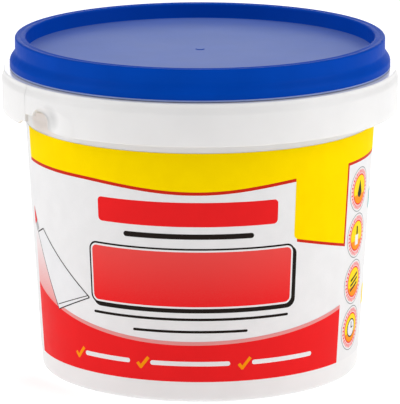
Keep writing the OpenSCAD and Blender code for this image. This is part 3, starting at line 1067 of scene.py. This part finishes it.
def knife():
    """A filling knife as a line drawing: a red grip, a grey ferrule and a flared blade."""
    red, dark, steel, grey = inks("red", "dark", "steel", "ferrule")
    patches = (
        (blade(0.34), 3, dark),
        (blade(0.0), 3.6, steel),
        (bar(-54.5, 24.7, 20.5, 15.3, 0.25, -0.3), 4.2, dark),
        (right_of(FRONT_LEFT, bar(-69.6, 45.4, 124, 3.6, 2.3, -0.6)), 4.2, grey),
        (right_of(FRONT_LEFT, bar(-71.0, 47.0, 124, 15, 2.8, 0)), 4.8, red),
    )
    return [layered("print_knife", *patches)]


def signs(az, z, dark, white):
    """Patches of four plain signs, one list for each: a drop, a pot, three waves and a dial."""
    drop = (-1.5, -1.2, -0.9), (-1.1, -2.0, 0.2), (0, -2.5, 2.9), (1.1, -2.0, 0.2), (1.5, -1.2, -0.9)
    return (
        [(flag(az, z, *drop), 5.2, dark)],
        [(bar(az, z, 90, 3.2, 2.4, -2.9), 5.2, white), (bar(az, z, 90, 2.6, 1.0, 0.3), 5.9, dark)],
        [(bar(az, z + 1.5 * k, 20, 5.4, 0.7, -2.7), 5.2, dark) for k in (-1, 0, 1)],
        [
            (disc(az, z, 2.9), 5.2, dark),
            (disc(az, z, 2.5), 5.9, white),
            (bar(az, z, 90, 1.9, 0.4), 6.6, dark),
            (bar(az, z, 10, 1.4, 0.4), 6.6, dark),
        ],
    )


def badges():
    """Four round marks in a column, each a ring of short red strokes round a yellow disc with a plain sign."""
    red, dark, white, grey, orange, yellow, blush = inks("red", "dark", "white", "grey", "orange", "yellow", "blush")
    az, strokes, made = 71.0, 30, []
    for number, z in enumerate((58.5, 44.2, 29.8, 15.4)):
        rings = ((6.9, 1, grey), (6.62, 1.7, white), (6.2, 2.4, blush), (4.75, 3.1, red), (4.35, 3.8, yellow))
        patches = [(disc(az, z, radius), layer, colour) for radius, layer, colour in rings]
        patches.append((disc(az, z, 4.35, -1.0, -0.35), 4.5, orange))
        for i in range(strokes):
            patches.append((bar(az, z, i * 360 / strokes, 1.0 - 0.25 * (i % 2), 0.4, 5.1), 3.1, red))
        made.append(layered(f"print_mark_{number + 1}", *patches, *signs(az, z, dark, white)[number]))
    return made


def back_print():
    """Plain print on the back: two framed panels, all with fine rules, and two rows of small coloured blocks."""
    grey, dark, pale, blue, red, yellow, teal = inks("grey", "dark", "steel", "blue", "red", "yellow", "teal")
    low, high, line, patches = 10.0, 60.2, 0.35, []
    for z, row in ((53.0, (teal, yellow, blue)), (23.0, (yellow, red, pale))):
        for i, colour in enumerate(row):
            patches.append((plate(84 + 9.5 * i, 91 + 9.5 * i, z - 3, z + 3, 0.8), 1, colour))
    for z in [46.5 - 2.6 * i for i in range(8)]:
        patches.append((plate(90, 112, z, z + 0.5, 0.25), 1, grey))
    for first, last in ((118, 174), (-174, -116)):
        for z in (low, high):
            patches.append((field(first, last, z, z + line), 1, dark))
        for az in (first, last):
            patches.append((field(az - deg(0.17), az + deg(0.17), low, high + line), 1, dark))
        for k in range(15):
            z, end = 56.0 - 2.8 * k, last - 4 - (9 if k % 5 == 4 else 0)
            patches.append((plate(first + 4, end, z, z + 0.5, 0.25), 1, grey))
    return [layered("print_back", *patches)]


class FILLER_OT_film(Operator):
    """Model the film round the wall"""

    bl_idname = "filler_tub.make_film"
    bl_label = "Film"

    def execute(self, context):
        film = settings().film
        low, high, thick = mm(film.low), mm(film.high), mm(film.thick)
        half = degrees(mm(film.back_gap) / 2 / tub_sizes("shoulder_radius")[0])
        outline = [(wall_r(z) + HAIR + out, z) for z, out in ((low, 0), (low, thick), (high, thick), (high, 0))]
        sheet = turned("film", outline, True, half - 180, 180 - half)
        paper = ink("film_white", tuple(settings().colours.paper), 0.38)
        hand_over(coat(smoothed(sheet), paper), "tub", "film", "label")
        return {"FINISHED"}


class FILLER_OT_print(Operator):
    """Print the film: bands, title plates, ticks, knife, round marks and the back"""

    bl_idname = "filler_tub.make_print"
    bl_label = "Print"

    def execute(self, context):
        for piece in bands() + title() + ticks() + knife() + badges() + back_print():
            hand_over(smoothed(piece), "tub", "film")
        return {"FINISHED"}


# Stage


def lamp(name, azimuth, height, distance, size, power, tall=None):
    """A soft lamp that lights the tub and isn't seen itself."""
    start_clean()
    bpy.ops.object.light_add(type="AREA", location=at(azimuth, distance / MM, height / MM))
    light = named(name)
    light.data.shape = "RECTANGLE"
    light.data.size, light.data.size_y, light.data.energy = size, tall or size, power
    light.rotation_euler = (TARGET - light.location).to_track_quat("-Z", "Y").to_euler()
    light.visible_camera = False


class FILLER_OT_stage(Operator):
    """Set the floor, the soft lamps, the pale surroundings and the camera"""

    bl_idname = "filler_tub.make_stage"
    bl_label = "Stage"

    def execute(self, context):
        stage = settings().stage
        start_clean()
        bpy.ops.mesh.primitive_plane_add(size=30.0, location=(0, 0, -HAIR * MM))
        floor = named("floor")
        bpy.ops.object.transform_apply(location=True, rotation=False, scale=False)
        m = Maker("floor_pale")
        m.mottled(stage.floor, 180, 2.0, 0.992, 1.0)
        m.satin(60, 2.0, 0.75, 0.85)
        m.set(Specular_IOR_Level=0.1, Emission_Color=(1.0, 1.0, 1.0, 1.0), Emission_Strength=stage.glow)
        coat(floor, m.material)
        lamp("lamp_left", -74, 0.7, 1.3, 1.1, stage.left_power)
        lamp("lamp_right", 78, 0.7, 1.3, 1.1, stage.right_power)
        lamp("lamp_top", 178, 1.9, 0.3, 1.8, stage.top_power)
        lamp("lamp_back", 180, 0.55, 2.2, 1.6, stage.back_power, tall=1.0)
        world = bpy.data.worlds.new("surroundings")
        context.scene.world = world
        world.use_nodes = True
        pale = world.node_tree.nodes["Background"].inputs
        pale["Color"].default_value, pale["Strength"].default_value = (1.0, 1.0, 1.0, 1.0), stage.surroundings
        level = cos(stage.pitch)
        away = Vector((sin(stage.turn) * level, -cos(stage.turn) * level, sin(stage.pitch)))
        bpy.ops.object.camera_add(location=TARGET + away * stage.distance)
        camera = named("camera")
        camera.rotation_euler = (-away).to_track_quat("-Z", "Y").to_euler()
        camera.data.lens, camera.data.sensor_width = stage.lens, 36.0
        camera.data.clip_start, camera.data.clip_end = 0.05, 60.0
        context.scene.camera = camera
        context.scene.view_settings.view_transform = "Standard"
        return {"FINISHED"}


class FILLER_PT_panel(Panel):
    """Lists the sizes and colours, and a button for each step"""

    bl_idname = "FILLER_PT_panel"
    bl_label = "Filler Tub"
    bl_space_type = "VIEW_3D"
    bl_region_type = "UI"
    bl_category = "Filler Tub"

    def draw(self, context):
        for name in ("tub", "lid", "film", "colours", "stage"):
            group, box = getattr(settings(), name), self.layout.box()
            box.label(text=name.capitalize())
            for key in group.__annotations__:
                box.prop(group, key)
        for operator in OPERATORS:
            self.layout.operator(operator.bl_idname)


GROUPS = (TubSizes, LidSizes, FilmSizes, Colours, StageSettings, FillerTubSettings)
OPERATORS = (
    FILLER_OT_stage, FILLER_OT_tub, FILLER_OT_tab, FILLER_OT_lid, FILLER_OT_paste, FILLER_OT_film, FILLER_OT_print
)


def register():
    for cls in (*GROUPS, *OPERATORS, FILLER_PT_panel):
        bpy.utils.register_class(cls)
    bpy.types.Scene.filler_tub = PointerProperty(type=FillerTubSettings)


def unregister():
    del bpy.types.Scene.filler_tub
    for cls in reversed((*GROUPS, *OPERATORS, FILLER_PT_panel)):
        bpy.utils.unregister_class(cls)


def main():
    register()
    bpy.ops.filler_tub.make_stage()
    bpy.ops.filler_tub.make_tub()
    bpy.ops.filler_tub.make_tab()
    bpy.ops.filler_tub.make_lid()
    bpy.ops.filler_tub.make_paste()
    bpy.ops.filler_tub.make_film()
    bpy.ops.filler_tub.make_print()


if __name__ == "__main__":
    main()
